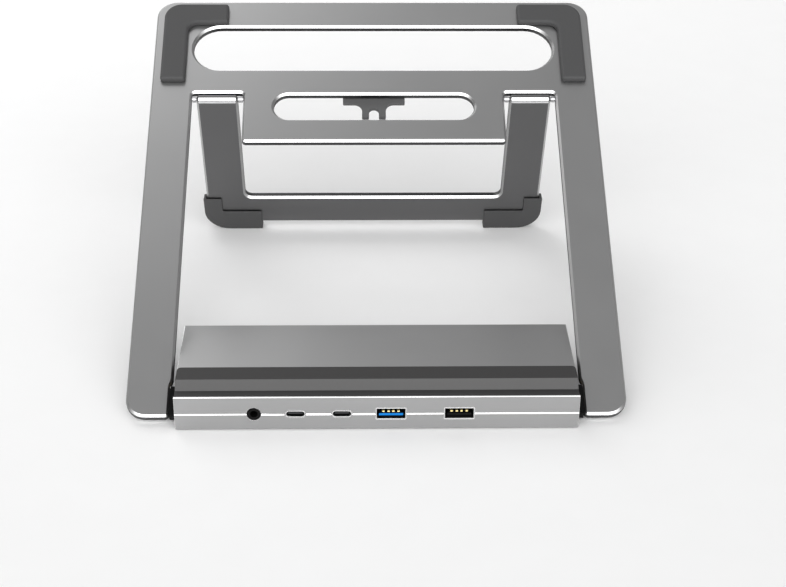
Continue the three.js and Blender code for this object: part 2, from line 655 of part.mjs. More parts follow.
// The cable clip: a flat bar with two prongs that stick out under the short slot.
{
  const barFront = shortSlotY + SHORT_SLOT_RADIUS - CLIP_FRONT;
  const tips = barFront - PRONG_REACH;
  const archTop = tips + 6;
  const shape = outline(mirrored([
    [PRONG_INSIDE, archTop, PRONG_INSIDE - 0.05], [PRONG_INSIDE, tips, 0.7],
    [PRONG_OUTSIDE, tips, 0.7], [PRONG_OUTSIDE, barFront, 4.2], [CLIP_HALF, barFront, 0.6],
    [CLIP_HALF, barFront + CLIP_DEPTH, 0.6],
  ]));
  const top = -PLATE / 2 - FIT;
  const bores = [-1, 1].map((side) => (
    rodZ(CLIP_SCREW_RADIUS + FIT, side * CLIP_SCREW_X, clipScrewY, top - CLIP_THICKNESS - 1, top + 1)
  ));
  add(tray, 'cable_clip', cut(plate(shape, top - CLIP_THICKNESS, top), ...bores), 'rubber');

  for (const [side, label] of [[-1, 'left'], [1, 'right']]) {
    const head = top - CLIP_THICKNESS - FIT;
    const screw = turned([
      [0, head - 1.2], [1.4, head - 1.2], [2, head - 0.6], [2, head], [CLIP_SCREW_RADIUS, head],
      [CLIP_SCREW_RADIUS, -PLATE / 2 + CLIP_SCREW_BITE], [0, -PLATE / 2 + CLIP_SCREW_BITE],
    ]);
    screw.rotateX(Math.PI / 2).translate(side * CLIP_SCREW_X, clipScrewY, 0);
    add(tray, `clip_screw_${label}`, solid(screw), 'steel');
  }
}

// ---------------------------------------------------------------- rear leg
// Its frame has the leg's axis as origin, and the leg hangs down along -Z.
function legOutline(grow) {
  return outline(mirrored([
    [legInner - grow, -windowEnd + grow, 4], [legInner - grow, 0], [legOuter + grow, 0],
    [legOuter + grow, -metalEnd - grow, 12],
  ]));
}

// A barrel along x, as thick as the plate, with its ends chamfered like the plate's edges.
function barrel(x0, x1) {
  const radius = PLATE / 2;
  const body = turned([
    [0, x0], [radius - EDGE, x0], [radius, x0 + EDGE], [radius, x1 - EDGE], [radius - EDGE, x1],
    [0, x1],
  ]);
  return solid(body.rotateZ(-Math.PI / 2));
}

function uprightPlate(shape, halfThickness, chamfer = 0) {
  const body = plate(shape, -halfThickness, halfThickness, chamfer);
  return body.rotate([90, 0, 0]);
}

{
  const bores = [];
  const barrels = [];
  for (const side of [-1, 1]) {
    barrels.push(barrel(...sided(side, legInner, legOuter)));
    bores.push(rodX(LEG_PIN_RADIUS + FIT, ...sided(side, legInner - 1, legOuter + 1)));
  }
  const frame = uprightPlate(legOutline(0), PLATE / 2, EDGE);
  add(leg, 'leg_frame', cut(join(frame, ...barrels), ...bores), 'aluminium');
}

// The caps are sheared along the leg, so that their soles are level when the leg leans.
const capHalf = PLATE / 2 + CAP_WALL;
const slope = Math.tan(lean);
const levelled = (body) => body.transform([
  1, 0, 0, 0, 0, 1, -slope, 0, 0, 0, 1, 0, 0, 0, -slope * capHalf, 1,
]);

for (const [side, label] of [[-1, 'left'], [1, 'right']]) {
  const bottom = -capReach;
  const foot = -capReach + CAP_FOOT_HEIGHT;
  const shape = outline([
    [side * capOuter, bottom, CAP_CORNER], [side * capOuter, -capReach + CAP_HEIGHT, 0.5],
    [side * (capOuter - CAP_SIDE_WIDTH), -capReach + CAP_HEIGHT, 0.5],
    [side * (capOuter - CAP_SIDE_WIDTH), foot, 1.2], [side * (capOuter - CAP_LENGTH), foot, 0.5],
    [side * (capOuter - CAP_LENGTH), bottom],
  ]);
  const pocket = uprightPlate(legOutline(FIT), PLATE / 2 + FIT);
  const cap = cut(levelled(uprightPlate(shape, capHalf)), pocket);
  add(leg, `${label}_foot_cap`, cap, 'rubber');

  // Pins and washers stay with the tray; the leg's barrel turns on them.
  const pin = rodX(LEG_PIN_RADIUS, ...sided(side, ...legPinSpan), legAxisY);
  add(tray, `${label}_leg_pin`, pin, 'steel');
  const washer = (near, far) => (
    ringX(LEG_PIN_RADIUS + FIT + 0.5, LEG_PIN_RADIUS + FIT, ...sided(side, near, far), legAxisY)
  );
  add(tray, `${label}_inner_washer`, washer(tongueHalf + FIT, legInner - FIT), 'steel');
  add(tray, `${label}_outer_washer`, washer(legOuter + FIT, armInner - FIT), 'steel');
}

// ---------------------------------------------------------------- place on the origin
station.updateMatrixWorld(true);
const extent = new THREE.Box3().setFromObject(station, true);
station.position.y = -(extent.min.y + extent.max.y) / 2;
station.updateMatrixWorld(true);

export default station;
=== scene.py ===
# %% [markdown]
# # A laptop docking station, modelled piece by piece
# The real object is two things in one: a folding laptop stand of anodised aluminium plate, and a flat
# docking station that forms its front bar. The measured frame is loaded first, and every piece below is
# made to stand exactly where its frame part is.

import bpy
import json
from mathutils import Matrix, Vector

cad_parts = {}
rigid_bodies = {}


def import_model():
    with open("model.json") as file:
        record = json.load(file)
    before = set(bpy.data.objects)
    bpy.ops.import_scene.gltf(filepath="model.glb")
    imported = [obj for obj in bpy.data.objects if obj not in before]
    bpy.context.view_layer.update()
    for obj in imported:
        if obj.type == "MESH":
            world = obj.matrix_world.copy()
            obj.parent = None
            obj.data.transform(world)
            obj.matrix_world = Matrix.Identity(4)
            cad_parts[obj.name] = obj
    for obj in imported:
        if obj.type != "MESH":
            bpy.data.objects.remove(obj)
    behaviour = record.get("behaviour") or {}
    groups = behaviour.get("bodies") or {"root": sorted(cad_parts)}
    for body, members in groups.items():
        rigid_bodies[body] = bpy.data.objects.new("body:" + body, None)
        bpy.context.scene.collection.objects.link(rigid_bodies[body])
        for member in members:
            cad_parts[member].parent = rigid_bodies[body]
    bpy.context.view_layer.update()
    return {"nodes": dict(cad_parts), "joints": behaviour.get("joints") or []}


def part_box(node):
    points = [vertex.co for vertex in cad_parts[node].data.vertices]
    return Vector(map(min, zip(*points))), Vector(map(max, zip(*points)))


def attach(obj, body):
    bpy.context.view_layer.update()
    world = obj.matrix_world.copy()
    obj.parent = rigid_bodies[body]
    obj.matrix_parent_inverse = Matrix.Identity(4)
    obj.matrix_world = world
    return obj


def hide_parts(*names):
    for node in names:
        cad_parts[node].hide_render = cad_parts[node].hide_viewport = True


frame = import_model()

import json
import math
from contextlib import contextmanager

import bmesh
import bpy
from mathutils import Matrix, Vector

mm = 0.001

# %% [markdown]
# The tray and the leg are flat plates that stand at an angle. It is much easier to model a plate lying
# flat and turn the finished piece than to work on a slope, so each of them gets a matrix that carries
# its own flat coordinates into the scene. The hinge positions come from the frame's joints.

# %% Where the tray and the leg stand
joints = {joint["name"]: joint for joint in frame["joints"]}
tray_tilt = math.radians(-joints["tray_tilt"]["range_deg"][0])
leg_lean = math.radians(20.75)  # from upright, with the foot to the rear


def standing_at(joint, angle):
    """The matrix from a plate's own flat coordinates to the scene."""
    return Matrix.Translation(Vector(joints[joint]["pos_m"])) @ Matrix.Rotation(angle, 4, "X")


on_tray = standing_at("tray_tilt", tray_tilt)
on_leg = standing_at("leg_fold", leg_lean)
on_dock = Matrix.Identity(4)
print("tray hinge at", [round(x / mm, 2) for x in on_tray.translation], "mm")

# %% [markdown]
# Blender's operators act on whatever is selected, and loading the frame leaves all of it selected. So
# one helper clears the selection, and another opens a piece in edit mode and closes it again. Faces,
# edges and corners are then selected by where they are, which is the script's way of clicking on them.

# %% Selecting and editing


def clear_selection():
    for obj in bpy.context.view_layer.objects:
        obj.select_set(False)


def work_on(piece):
    clear_selection()
    piece.select_set(True)
    bpy.context.view_layer.objects.active = piece


@contextmanager
def editing(piece, mode="FACE"):
    """Opens a piece in edit mode with nothing selected."""
    work_on(piece)
    bpy.ops.object.mode_set(mode="EDIT")
    bpy.ops.mesh.select_mode(type=mode)
    bpy.ops.mesh.select_all(action="DESELECT")
    yield
    bpy.ops.object.mode_set(mode="OBJECT")


def pick_faces(piece, wanted):
    """Selects the faces for which wanted(centre, normal) is true, and says how many."""
    shape = bmesh.from_edit_mesh(piece.data)
    shape.normal_update()
    for face in shape.faces:
        face.select_set(bool(wanted(face.calc_center_median(), face.normal)))
    shape.select_flush_mode()
    bmesh.update_edit_mesh(piece.data)
    return sum(face.select for face in shape.faces)


def pick_edges(piece, wanted):
    """Selects the edges for which wanted(middle, direction) is true, and says how many."""
    shape = bmesh.from_edit_mesh(piece.data)
    for edge in shape.edges:
        a, b = (corner.co for corner in edge.verts)
        edge.select_set(bool(wanted((a + b) / 2, (b - a).normalized())))
    bmesh.update_edit_mesh(piece.data)
    return sum(edge.select for edge in shape.edges)


# %% [markdown]
# Three ways to start a piece. A block and a rod are primitives, added at their real size and place. A
# cut-out sheet such as the tray has an outline that would be slow to draw again, so it starts as a
# merged copy of its frame part. The frame part itself is never touched.

# %% Starting a piece


def block(name, low, high):
    """A box between two corners, with its place in its mesh."""
    low, high = Vector(low), Vector(high)
    clear_selection()
    bpy.ops.mesh.primitive_cube_add(size=1, location=(low + high) / 2, scale=high - low)
    return settled(name)


def rod(name, radius, start, end, sides=32):
    """A round bar between two points, with its place in its mesh."""
    start, end = Vector(start), Vector(end)
    turn = (end - start).to_track_quat("Z", "Y").to_euler()
    clear_selection()
    bpy.ops.mesh.primitive_cylinder_add(
        vertices=sides, radius=radius, depth=(end - start).length,
        location=(start + end) / 2, rotation=turn)
    return settled(name)


def settled(name):
    piece = bpy.context.active_object
    piece.name = name
    piece.data.name = name
    bpy.ops.object.transform_apply(location=True, rotation=True, scale=True)
    return piece


weld_distance = 0.002 * mm
flat_angle = math.radians(0.4)  # faces that differ by less than this belong to one flat face


def traced(name, node, place=on_dock):
    """A merged copy of a frame part, laid flat in its own coordinates, with whole flat faces."""
    source = frame["nodes"][node]
    piece = bpy.data.objects.new(name, source.data.copy())
    bpy.context.scene.collection.objects.link(piece)
    piece.data.materials.clear()
    piece.data.transform(place.inverted())
    with editing(piece, "VERT"):
        bpy.ops.mesh.select_all(action="SELECT")
        bpy.ops.mesh.remove_doubles(threshold=weld_distance)
        bpy.ops.mesh.dissolve_limited(angle_limit=flat_angle)
    return piece


# %% [markdown]
# A real edge is never perfectly sharp, and it is the thin line of light along an edge that tells the
# eye what a thing is made of. So every piece has its edges broken with a Bevel modifier, which is
# applied, and is then shaded smooth up to an angle. A Weighted Normal modifier lets the large faces
# decide how their corners are shaded, or the narrow bevels would bend the light on the flats.

# %% Breaking edges and smoothing


def break_edges(piece, width, segments=2, angle=28, finish_slot=-1):
    """Rounds every edge sharper than the angle; the new faces may take a finish of their own."""
    bevel = piece.modifiers.new("broken edges", "BEVEL")
    bevel.width = width
    bevel.segments = segments
    bevel.limit_method = "ANGLE"
    bevel.angle_limit = math.radians(angle)
    bevel.use_clamp_overlap = False
    bevel.material = finish_slot
    work_on(piece)
    bpy.ops.object.modifier_apply(modifier=bevel.name)


def smooth(piece, angle=30):
    """Shades a piece smooth up to the angle, with its large faces kept flat."""
    work_on(piece)
    bpy.ops.object.shade_smooth_by_angle(angle=math.radians(angle))
    weighted = piece.modifiers.new("flat faces first", "WEIGHTED_NORMAL")
    weighted.keep_sharp = True
    bpy.ops.object.modifier_apply(modifier=weighted.name)


# %% [markdown]
# The last step is the same for every piece: the flat piece is turned into its place, its edges are
# shaded, it is hung on the body it moves with, the frame parts it stands for are hidden, and the listed
# finishes are added to it.

# %% Handing a piece over


def hand_over(piece, finishes, body, slot, *nodes, place=on_dock, angle=30):
    for finish in finishes:
        if finish.name not in piece.data.materials:
            piece.data.materials.append(finish)
    piece.data.transform(place)
    smooth(piece, angle)
    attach(piece, body)
    if nodes:
        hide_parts(*nodes)
    faces = len(piece.data.polygons)
    print(f"{piece.name}: {faces} faces, rides on {body}")
    return piece


# %% [markdown]
# ## Finishes
# A finish is a small network of nodes. Written out node by node it is hard to read, so a socket is
# wrapped in a class that understands arithmetic: `0.4 + 0.1 * grain` adds the two Math nodes itself.

# %% Arithmetic on sockets


class Wire:
    """The output of a node, which Python's operators can work on."""

    def __init__(self, finish, socket):
        self.finish, self.socket = finish, socket

    def math(self, operation, first, second):
        return self.finish.make("ShaderNodeMath", {"operation": operation}, {0: first, 1: second})

    def __add__(self, other):
        return self.math("ADD", self, other)

    def __radd__(self, other):
        return self.math("ADD", other, self)

    def __sub__(self, other):
        return self.math("SUBTRACT", self, other)

    def __rsub__(self, other):
        return self.math("SUBTRACT", other, self)

    def __mul__(self, other):
        return self.math("MULTIPLY", self, other)

    def __rmul__(self, other):
        return self.math("MULTIPLY", other, self)

    def __gt__(self, other):
        return self.math("GREATER_THAN", self, other)

    def __abs__(self):
        return self.math("ABSOLUTE", self, 0.0)


# %% [markdown]
# Any other node comes from one method. It takes the node's type, its settings and what goes into its
# sockets, which is either a plain value or a wire from another node.

# %% Making nodes


class Finish:
    """A material that is built up from nodes."""

    def __init__(self, name):
        self.material = bpy.data.materials.new(name)
        self.material.use_nodes = True
        self.tree = self.material.node_tree
        self.tree.nodes.clear()
        self.place = self.make("ShaderNodeTexCoord", output="Object")

    def make(self, kind, settings=None, inputs=None, output=0):
        node = self.tree.nodes.new(kind)
        for key, value in (settings or {}).items():
            setattr(node, key, value)
        for key, value in (inputs or {}).items():
            if isinstance(value, Wire):
                self.tree.links.new(value.socket, node.inputs[key])
            else:
                node.inputs[key].default_value = value
        return Wire(self, node.outputs[output]) if len(node.outputs) else node

    def noise(self, scale, detail=2.0, stretch=(1, 1, 1)):
        """A noise from 0 to 1. Scale is in patches per metre, and stretch squeezes it by axis."""
        place = self.place
        if stretch != (1, 1, 1):
            place = self.make("ShaderNodeMapping", None, {"Vector": place, "Scale": stretch})
        return self.make("ShaderNodeTexNoise", None, {
            "Vector": place, "Scale": scale, "Detail": detail, "Roughness": 0.55})

    def blend(self, factor, dark, light):
        """A colour between two, by a factor from 0 to 1."""
        return self.make("ShaderNodeMix", {"data_type": "RGBA"}, {
            0: factor, 6: (*dark, 1), 7: (*light, 1)}, output=2)

    def relief(self, height, depth, strength=1.0):
        """Fine relief whose highest point stands that far above its lowest."""
        return self.make("ShaderNodeBump", None, {
            "Height": height, "Distance": depth, "Strength": strength})

    def surface(self, colour, roughness, normal, **fixed):
        """The surface itself, and the finished material."""
        inputs = {"Base Color": colour, "Roughness": roughness, "Normal": normal}
        inputs.update({key.replace("_", " "): value for key, value in fixed.items()})
        shader = self.make("ShaderNodeBsdfPrincipled", None, inputs)
        self.make("ShaderNodeOutputMaterial", None, {"Surface": shader})
        return self.material


# %% [markdown]
# ### Anodised aluminium
# The plates and the housing are blasted with fine glass beads and then anodised grey. That gives a
# satin metal with a very fine grain and no direction. Two noises do it: one finer than a quarter of a
# millimetre for the grain, which shifts the roughness and stands up as relief, and one as broad as a
# hand for the slight cloudiness that any dyed sheet has.

# %% Anodised aluminium


def anodised(name, tone, roughness):
    finish = Finish(name)
    grain = finish.noise(3800, detail=3)
    cloud = finish.noise(14, detail=2)
    rubbed = finish.noise(90, detail=4)
    depth = 0.2 + 0.6 * cloud
    colour = finish.blend(
        depth + 0.25 * (grain - 0.5),
        [0.93 * x for x in tone], [1.07 * x for x in tone])
    sheen = roughness + 0.10 * (grain - 0.5) + 0.05 * (rubbed - 0.5) + 0.03 * (cloud - 0.5)
    return finish.surface(
        colour, sheen, finish.relief(grain, 0.004 * mm, 0.5), Metallic=1.0)


# the leg's much darker tone is painted shade for its place under the tray, and the dock's tone, a little
# lighter than the tray's, is painted light
tray_metal = anodised("anodised tray", (0.387, 0.387, 0.389), 0.38)
leg_metal_painted_shade = anodised("anodised leg, painted shade", (0.165, 0.165, 0.167), 0.42)
dock_metal = anodised("anodised dock", (0.430, 0.430, 0.432), 0.34)
print("anodised finishes:", [m.name for m in (tray_metal, leg_metal_painted_shade, dock_metal)])

# %% [markdown]
# ### Cut edges
# After blasting, the edges of the sheets are milled with a diamond tool and come out bright. A milled
# surface has faint lines along the cut, so its noise is squeezed hard in one direction. Where the surface
# faces left or right, the colour moves to a second, darker tone, which is painted shade.

# %% Bright milled edges


def milled(name, tone, side_painted_shade, roughness):
    """A milled edge whose colour moves to a second tone, a painted shade, where it faces left or right."""
    finish = Finish(name)
    lines = finish.noise(60, detail=3, stretch=(1, 1, 60))
    specks = finish.noise(900, detail=2)
    facing = finish.make("ShaderNodeTexCoord", output="Normal")
    sideways = abs(finish.make("ShaderNodeSeparateXYZ", None, {0: facing}))
    along = finish.make("ShaderNodeMapRange", {"interpolation_type": "SMOOTHSTEP"}, {
        "Value": sideways, "From Min": 0.12, "From Max": 0.55})
    # where the surface turns left or right the colour moves to the second tone, a painted shade
    colour = finish.blend(along - 0.08 * lines, tone, side_painted_shade)
    shine = roughness + 0.22 * along + 0.10 * (lines - 0.5) + 0.05 * (specks - 0.5)
    return finish.surface(
        colour, shine, finish.relief(lines, 0.002 * mm, 0.4), Metallic=1.0)


# the second tone of each milled finish is painted shade on faces that turn sideways
bright_edge = milled("milled edge", (0.96, 0.96, 0.97), (0.40, 0.40, 0.40), 0.14)
# the cut side's dark tones are painted shade for the dim reflection on the upright cut faces
cut_side_painted_shade = milled("cut side, painted shade", (0.070, 0.070, 0.072), (0.12, 0.12, 0.12), 0.34)
polished_rim = milled("polished rim", (0.97, 0.97, 0.97), (0.80, 0.80, 0.80), 0.14)
print("milled finishes:", [m.name for m in (bright_edge, cut_side_painted_shade, polished_rim)])

# %% [markdown]
# ### Rubber and plastic
# The pads, the foot caps and the laptop rest are moulded in dark grey silicone rubber with a fine
# spark-eroded grain. It is matt and a little uneven in tone. The plastics share the recipe with other
# colours, and most of them have a finer grain.

# %% Rubber and plastic


def moulded(name, tone, roughness, grain_depth=0.012, dust=0.12, shine=0.5):
    finish = Finish(name)
    grain = finish.noise(2400, detail=3)
    cloud = finish.noise(35, detail=3)
    specks = finish.noise(700, detail=1)
    colour = finish.blend(
        0.5 + dust * 2 * (cloud - 0.5) + 0.3 * (grain - 0.5) + 0.15 * (specks - 0.5),
        [0.82 * x for x in tone], [1.18 * x for x in tone])
    dullness = roughness + 0.10 * (grain - 0.5) + 0.08 * (cloud - 0.5)
    return finish.surface(
        colour, dullness, finish.relief(grain, grain_depth * mm, 0.6), Metallic=0.0,
        Specular_IOR_Level=shine)


pad_rubber = moulded("grey rubber", (0.050, 0.050, 0.051), 0.66)
cap_rubber = moulded("foot rubber", (0.052, 0.052, 0.053), 0.68)
rest_rubber_painted_shade = moulded("laptop rest rubber, painted shade", (0.018, 0.018, 0.018), 0.62)
rest_back_painted_shade = moulded("laptop rest back, painted shade", (0.032, 0.031, 0.031), 0.62, shine=0.4)
rest_slope_painted_light = moulded("laptop rest slope, painted light", (0.083, 0.082, 0.082), 0.50)
clip_rubber = moulded("clip rubber", (0.085, 0.085, 0.086), 0.60)
black_plastic = moulded("black plastic", (0.004, 0.004, 0.004), 0.55, grain_depth=0.004, shine=0.1)
blue_plastic = moulded("blue plastic", (0.001, 0.165, 0.520), 0.50, grain_depth=0.004, shine=0.2)
chip_plastic = moulded("chip resin", (0.030, 0.030, 0.032), 0.45, grain_depth=0.008)
socket_inside_painted_shade = moulded("socket painted shade", (0.006, 0.006, 0.006), 0.60, grain_depth=0.004, shine=0.2)
print("rubbers and plastics:", [m.name for m in (
    pad_rubber, cap_rubber, rest_rubber_painted_shade, rest_back_painted_shade, rest_slope_painted_light, clip_rubber, black_plastic,
    blue_plastic, chip_plastic, socket_inside_painted_shade)])

# %% [markdown]
# ### Small metals
# The sockets are nickel-plated, the hinge parts are plain turned steel, the bushes are brass, and the
# contacts have a thin layer of gold. All of them are polished or turned metal, so one recipe with
# faint turning lines and a few duller patches serves, with the colour of each metal.

# %% Small metals


def turned_metal(name, tone, roughness):
    finish = Finish(name)
    lines = finish.noise(1500, detail=2, stretch=(1, 1, 0.2))
    patches = finish.noise(120, detail=3)
    colour = finish.blend(patches, [0.86 * x for x in tone], tone)
    shine = roughness + 0.12 * (patches - 0.5) + 0.06 * (lines - 0.5)
    return finish.surface(
        colour, shine, finish.relief(lines, 0.002 * mm, 0.5), Metallic=1.0)


nickel = turned_metal("nickel plate", (0.78, 0.77, 0.75), 0.24)
steel = turned_metal("turned steel", (0.56, 0.56, 0.57), 0.30)
brass = turned_metal("bush brass", (0.72, 0.53, 0.25), 0.30)
gold = turned_metal("contact gold", (1.00, 0.82, 0.38), 0.34)
print("small metals:", [m.name for m in (nickel, steel, brass, gold)])

# %% [markdown]
# ### Circuit board
# Inside the dock is a green board. Its solder mask is a thin glossy varnish over a woven sheet, with
# copper areas that show through a little lighter.

# %% Circuit board


def solder_mask(name):
    finish = Finish(name)
    areas = finish.make("ShaderNodeTexVoronoi", {"feature": "DISTANCE_TO_EDGE"}, {
        "Vector": finish.place, "Scale": 160.0})
    track = areas > 0.08
    weave = finish.noise(1800, detail=2)
    colour = finish.blend(0.75 * track + 0.25 * weave, (0.006, 0.055, 0.026), (0.014, 0.105, 0.050))
    return finish.surface(
        colour, 0.30 + 0.15 * (weave - 0.5), finish.relief(track, 0.03 * mm, 0.5), Metallic=0.0)


board_green = solder_mask("solder mask")
print("the board's finish is", board_green.name)

# %% [markdown]
# ## The tray
# The tray is one sheet of 4.6 mm aluminium. Laser or punch cuts the outline and the two long slots,
# and a milled chamfer runs round every edge. It starts as a copy of its frame part, because its outline
# is exact there. The faces that lean between the flat and the edge are the chamfer, and they are
# picked by the tilt of their normals to get the bright finish. The upright sides between the chamfers
# get a dark finish, which is painted shade.

# %% Tray plate


def finish_rim(piece, flat_axis, skip=lambda at: False):
    """Gives the second finish to the chamfers and the third one, a painted shade, to the upright sides
    between them.
    """
    counts = [0, 0, 0]  # flat, chamfer and side faces
    for face in piece.data.polygons:
        lean = abs(face.normal[flat_axis])
        index = 0 if lean > 0.95 or skip(face.center) else 1 if lean > 0.3 else 2
        face.material_index = index
        counts[index] += 1
    return counts


plate_edge = 0.12 * mm
tray = traced("sheet_tray", "tray_plate", on_tray)
# the third finish, on the upright cut sides, is painted shade
for finish in (tray_metal, bright_edge, cut_side_painted_shade):
    tray.data.materials.append(finish)
print("flat, chamfer and side faces:", finish_rim(tray, 2))
break_edges(tray, plate_edge)
hand_over(tray, [tray_metal], "tray", "anodised_aluminium", "tray_plate", place=on_tray)

# %% [markdown]
# ## The rear leg
# The leg is a second plate, a flat U whose two top ends are barrels round a pin. Its frame part has the
# outline and the barrels. The barrels keep the sheet's finish except in front, where a band of the bright
# milled finish is a painted highlight.

# %% Rear leg
leg = traced("sheet_leg", "leg_frame", on_leg)
# the third finish, on the upright cut sides, is painted shade
for finish in (leg_metal_painted_shade, bright_edge, cut_side_painted_shade):
    leg.data.materials.append(finish)
barrel_foot, band_foot = -2.2 * mm, -0.6 * mm  # heights from the pin, where z is 0
print("flat, chamfer and side faces:", finish_rim(leg, 1, skip=lambda at: at.z > barrel_foot))
brightened = 0
# the front of each barrel takes the bright milled finish as a painted highlight
for face in leg.data.polygons:
    if face.center.z > band_foot and face.normal.y < -0.4 and abs(face.normal.x) < 0.9:
        face.material_index = 1
        brightened += 1
print("polished faces at the front of the barrels:", brightened)
break_edges(leg, plate_edge)
hand_over(leg, [leg_metal_painted_shade], "rear_leg", "anodised_aluminium", "leg_frame", place=on_leg)

# %% [markdown]
# ## Corner pads
# Two L-shaped rubber pads sit on the rear corners and keep the laptop from sliding. Each is modelled by
# hand: a block at the corner, one face drawn out along the rear edge and one along the side, the
# corners rounded, and then the rim of the top face beveled, as the mould does it. The rim's bevel has to
# stay smaller than the rounding at the ends, or its faces would cross there.

# %% Corner pads
pad_width, pad_rear, pad_side = 13.2 * mm, 34.6 * mm, 52.5 * mm
pad_bottom, pad_top = 2.6 * mm, 5.8 * mm
pad_x, pad_y = 113.1 * mm, 235.0 * mm
outer_radius, inner_radius, end_radius, rim_round = 9 * mm, 5 * mm, 1.7 * mm, 1.55 * mm


def corner_pad(name, side, node):
    x, y = side * pad_x, pad_y
    inner = x - side * pad_width
    pad = block(name, (min(x, inner), y - pad_width, pad_bottom), (max(x, inner), y, pad_top))
    with editing(pad):
        pick_faces(pad, lambda at, normal: normal.x * side < -0.9)
        bpy.ops.mesh.extrude_region_move(
            TRANSFORM_OT_translate={"value": (-side * (pad_rear - pad_width), 0, 0)})
        pick_faces(pad, lambda at, normal: normal.y < -0.9 and (at.x - inner) * side > 0)
        bpy.ops.mesh.extrude_region_move(
            TRANSFORM_OT_translate={"value": (0, pad_width - pad_side, 0)})
    with editing(pad, "EDGE"):
        pick_edges(pad, lambda at, way: abs(way.z) > 0.9 and (at - Vector((x, y, at.z))).length < mm)
        bpy.ops.mesh.bevel(offset=outer_radius, segments=12, affect="EDGES")
        pick_edges(pad, lambda at, way: abs(way.z) > 0.9 and (
            at - Vector((inner, y - pad_width, at.z))).length < mm)
        bpy.ops.mesh.bevel(offset=inner_radius, segments=8, affect="EDGES")
        pick_edges(pad, lambda at, way: abs(way.z) > 0.9 and (
            at.y < y - pad_side + mm or abs(at.x) < abs(x) - pad_rear + mm))
        bpy.ops.mesh.bevel(offset=end_radius, segments=4, affect="EDGES")
        bpy.ops.mesh.select_all(action="SELECT")
        bpy.ops.mesh.dissolve_limited(angle_limit=flat_angle)
    with editing(pad):
        pick_faces(pad, lambda at, normal: normal.z > 0.9)
        bpy.ops.mesh.region_to_loop()
        bpy.ops.mesh.bevel(offset=rim_round, segments=3, profile=0.42, affect="EDGES")
    break_edges(pad, 0.15 * mm, segments=2, angle=40)
    return hand_over(pad, [pad_rubber], "tray", "grey_rubber", node, place=on_tray, angle=35)


corner_pad("pad_left", -1, "left_corner_pad")
corner_pad("pad_right", 1, "right_corner_pad")

# %% [markdown]
# ## Foot caps
# The leg stands on two rubber caps that are pushed over its lower corners. Each has a pocket that fits
# the leg, so it starts as a copy, and only its edges are rounded, more than on the metal, because
# rubber never comes out of a mould with a crisp edge.

# %% Foot caps
for side in ("left", "right"):
    cap = traced(f"foot_{side}", f"{side}_foot_cap", on_leg)
    break_edges(cap, 0.35 * mm, segments=3, angle=35)
    hand_over(cap, [cap_rubber], "rear_leg", "grey_rubber", f"{side}_foot_cap", place=on_leg)

# %% [markdown]
# ## Cable clip
# Under the short slot is a flat rubber clip with two prongs, which holds the laptop's cable.

# %% Cable clip
clip = traced("cable_holder", "cable_clip", on_tray)
break_edges(clip, 0.25 * mm, segments=2, angle=40)
hand_over(clip, [clip_rubber], "tray", "grey_rubber", "cable_clip", place=on_tray)

# %% [markdown]
# ## The dock's housing
# The housing is two shallow aluminium channels that meet in a seam half way up. Its edges are broken,
# and the broken edges are bright, so a thin line of light runs along the front and along the seam. A
# bevel along the seam would taper off at every socket. So the front is cut just below the seam instead,
# and the seam's edge is pushed back, which gives a band of the same width all along.

# %% Housing
lid = traced("housing_lid", "dock_top_shell")
lid.data.materials.append(dock_metal)
lid.data.materials.append(polished_rim)
break_edges(lid, 0.16 * mm, segments=2, angle=30, finish_slot=1)
hand_over(lid, [dock_metal], "dock", "anodised_aluminium", "dock_top_shell")

# %% The band along the seam
base = traced("housing_base", "dock_bottom_shell")
base.data.materials.append(dock_metal)
base.data.materials.append(polished_rim)
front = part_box("dock_bottom_shell")[0].y
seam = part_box("dock_bottom_shell")[1].z
bevel_height, bevel_depth = 0.50 * mm, 0.42 * mm
with editing(base):
    bpy.ops.mesh.select_all(action="SELECT")
    bpy.ops.mesh.bisect(plane_co=(0, 0, seam - bevel_height), plane_no=(0, 0, 1))
with editing(base, "VERT"):
    shape = bmesh.from_edit_mesh(base.data)
    for corner in shape.verts:
        corner.select_set(corner.co.y < front + 0.01 * mm and corner.co.z > seam - 0.01 * mm)
    bpy.ops.transform.translate(value=(0, bevel_depth, 0))
brightened = 0
for face in base.data.polygons:
    if face.center.y < front + bevel_depth and -0.95 < face.normal.y < -0.4 and face.normal.z > 0.3:
        face.material_index = 1
        brightened += 1
print("polished faces along the seam:", brightened)
break_edges(base, 0.12 * mm, segments=2, angle=60, finish_slot=1)
for corner in base.data.vertices:  # where three bevels meet, a corner can be pushed past the front
    corner.co.y = max(corner.co.y, front)
hand_over(base, [dock_metal], "dock", "anodised_aluminium", "dock_bottom_shell")

# %% [markdown]
# ## The laptop rest
# A strip of rubber along the front edge holds the laptop's front edge: a low ledge, a slope and a
# raised back. The mould rounds the upright corners at its ends. The three bands take three shades of the
# same rubber by the way they face: the ledge darkest and the back a little lighter, as painted shade, and
# the slope lightest, as painted light.

# %% Laptop rest
rest = traced("laptop_rest", "lip_strip")
rest_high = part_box("lip_strip")[1]
rear_reach, end_reach, end_round = 1.6 * mm, 0.1 * mm, 1.8 * mm
with editing(rest, "EDGE"):
    upright = pick_edges(rest, lambda at, way: abs(way.z) > 0.5 and (
        at.y > rest_high.y - rear_reach and abs(at.x) > rest_high.x - end_reach))
    bpy.ops.mesh.bevel(offset=end_round, segments=5, affect="EDGES")
print("upright end edges of the rest:", upright)
for finish in (rest_rubber_painted_shade, rest_back_painted_shade, rest_slope_painted_light):
    rest.data.materials.append(finish)
